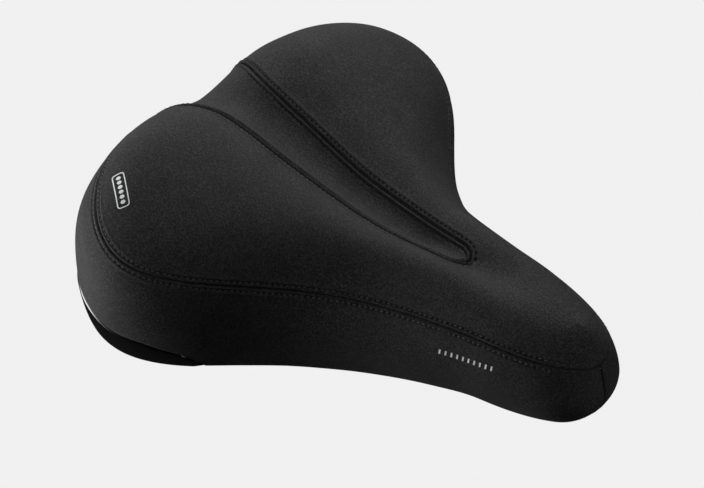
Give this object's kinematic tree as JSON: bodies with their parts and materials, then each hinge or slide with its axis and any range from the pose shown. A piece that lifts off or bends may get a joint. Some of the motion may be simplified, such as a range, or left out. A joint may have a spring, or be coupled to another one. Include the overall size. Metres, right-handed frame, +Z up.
{
  "type": "bicycle saddle",
  "caption": "Wide padded bicycle saddle with a stretch fabric cover, a sunken centre channel, a glossy rear guard and twin steel rails on rubber elastomers.",
  "frame": {"origin": "middle of the straight clamping length of the twin rails, on their axes' plane, halfway between them", "axes": "+X forwards to the saddle's nose, +Y to the rider's left, +Z up"},
  "size_m": [0.254, 0.215, 0.0901],
  "materials": {
    "fabric_top": "matt heathered stretch fabric, black",
    "fabric_centre": "matt heathered stretch fabric, black",
    "fabric_side": "matt heathered stretch fabric, black",
    "foam": "open-cell polyurethane foam, grey",
    "gel": "soft translucent gel, blue",
    "base_plastic": "moulded polypropylene, black",
    "guard_plastic": "polished black",
    "painted_steel": "black paint, semi-gloss",
    "zinc_steel": "zinc plated",
    "elastomer_rubber": "matt black rubber"
  },
  "bodies": {
    "rail_group": {"rail_frame": "painted_steel", "rear_bridge": "zinc_steel", "elastomer_left": "elastomer_rubber", "elastomer_right": "elastomer_rubber"},
    "saddle_top": {"cover_top_panel": "fabric_top", "cover_centre_panel": "fabric_centre", "cover_side_left": "fabric_side", "cover_side_right": "fabric_side", "foam_pad": "foam", "gel_insert_left": "gel", "gel_insert_right": "gel", "base_shell": "base_plastic", "rear_guard": "guard_plastic", "nose_clip": "base_plastic", "nose_screw_rear": "zinc_steel", "nose_screw_front": "zinc_steel", "bolt_left": "zinc_steel", "bolt_right": "zinc_steel", "washer_left": "zinc_steel", "washer_right": "zinc_steel", "nut_left": "zinc_steel", "nut_right": "zinc_steel", "guard_screw_left": "zinc_steel", "guard_screw_right": "zinc_steel"}
  },
  "joints": [
    {"name": "nose_rock", "type": "hinge", "parent": "rail_group", "child": "saddle_top", "pos_m": [0.096, 0, 0.0195], "axis": [0, -1, 0], "range_deg": [0, 2.2], "stiffness_Nm_per_rad": 1500, "deforming": ["elastomer_left", "elastomer_right"]}
  ]
}
